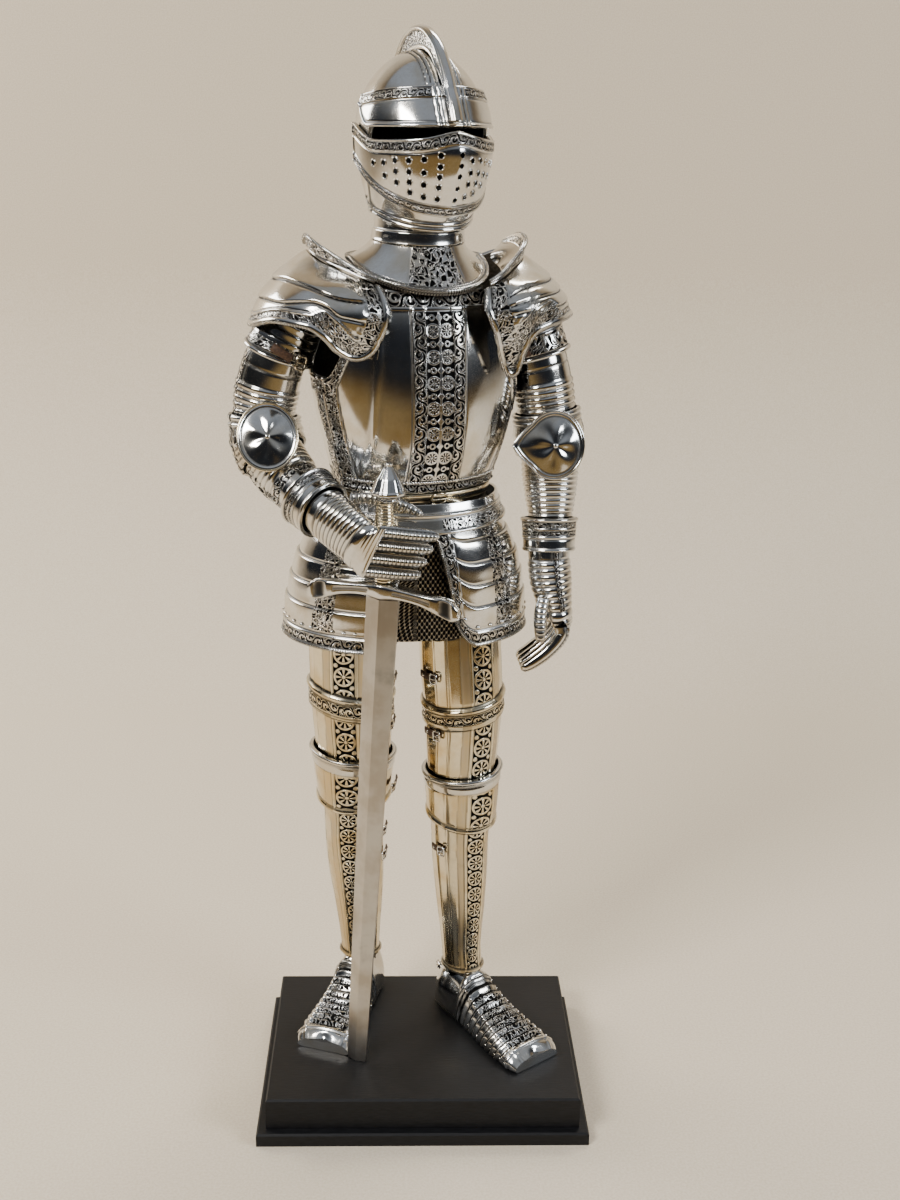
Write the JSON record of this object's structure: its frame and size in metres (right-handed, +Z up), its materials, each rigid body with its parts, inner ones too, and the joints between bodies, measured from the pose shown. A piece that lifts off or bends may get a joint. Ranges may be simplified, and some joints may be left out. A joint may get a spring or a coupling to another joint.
{
  "type": "statuette of a suit of plate armour with its sword on a plinth",
  "caption": "Standing statuette of a full suit of etched plate armour, close helmet shut, right gauntlet resting on an upright sword, on a stepped black plinth.",
  "frame": {"origin": "centre of the underside of the plinth", "axes": "+Z up, the figure faces -Y, +X is towards the figure's left hand; millimetres in the source"},
  "size_m": [0.1534, 0.1116, 0.4524],
  "materials": {
    "plated_steel": "mirror silver plating with black patina in the relief",
    "mail": "dark mail with worn bright rings",
    "blade_steel": "satin steel blade",
    "black_lacquer": "satin black lacquer"
  },
  "bodies": {
    "root": {"backplate": "plated_steel", "breastplate": "plated_steel", "couter_L": "plated_steel", "couter_R": "plated_steel", "couter_fan_L": "plated_steel", "couter_fan_R": "plated_steel", "cuff_L": "plated_steel", "cuff_R": "plated_steel", "cuisse_L": "plated_steel", "cuisse_R": "plated_steel", "culet": "plated_steel", "fauld": "plated_steel", "finger_L_1": "plated_steel", "finger_L_2": "plated_steel", "finger_L_3": "plated_steel", "finger_L_4": "plated_steel", "finger_R_1": "plated_steel", "finger_R_2": "plated_steel", "finger_R_3": "plated_steel", "finger_R_4": "plated_steel", "gauntlet_L": "plated_steel", "gauntlet_R": "plated_steel", "gorget": "plated_steel", "greave_L": "plated_steel", "greave_R": "plated_steel", "helm_bevor": "plated_steel", "helm_brow": "plated_steel", "helm_comb": "plated_steel", "helm_skull": "plated_steel", "helm_ventail": "plated_steel", "lower_cannon_L": "plated_steel", "lower_cannon_R": "plated_steel", "mail_skirt": "mail", "mail_sleeve_L": "mail", "mail_sleeve_R": "mail", "neck_guard_L": "plated_steel", "neck_guard_R": "plated_steel", "neck_lames": "plated_steel", "pauldron_L": "plated_steel", "pauldron_R": "plated_steel", "plinth": "black_lacquer", "poleyn_L": "plated_steel", "poleyn_R": "plated_steel", "sabaton_L": "plated_steel", "sabaton_R": "plated_steel", "spaudler_L": "plated_steel", "spaudler_R": "plated_steel", "spur_L": "plated_steel", "spur_R": "plated_steel", "sword_blade": "blade_steel", "sword_grip": "plated_steel", "sword_guard": "plated_steel", "sword_pommel": "plated_steel", "tasset_L": "plated_steel", "tasset_R": "plated_steel", "thumb_L": "plated_steel", "thumb_R": "plated_steel", "upper_cannon_L": "plated_steel", "upper_cannon_R": "plated_steel", "waist_belt": "plated_steel"}
  },
  "joints": []
}
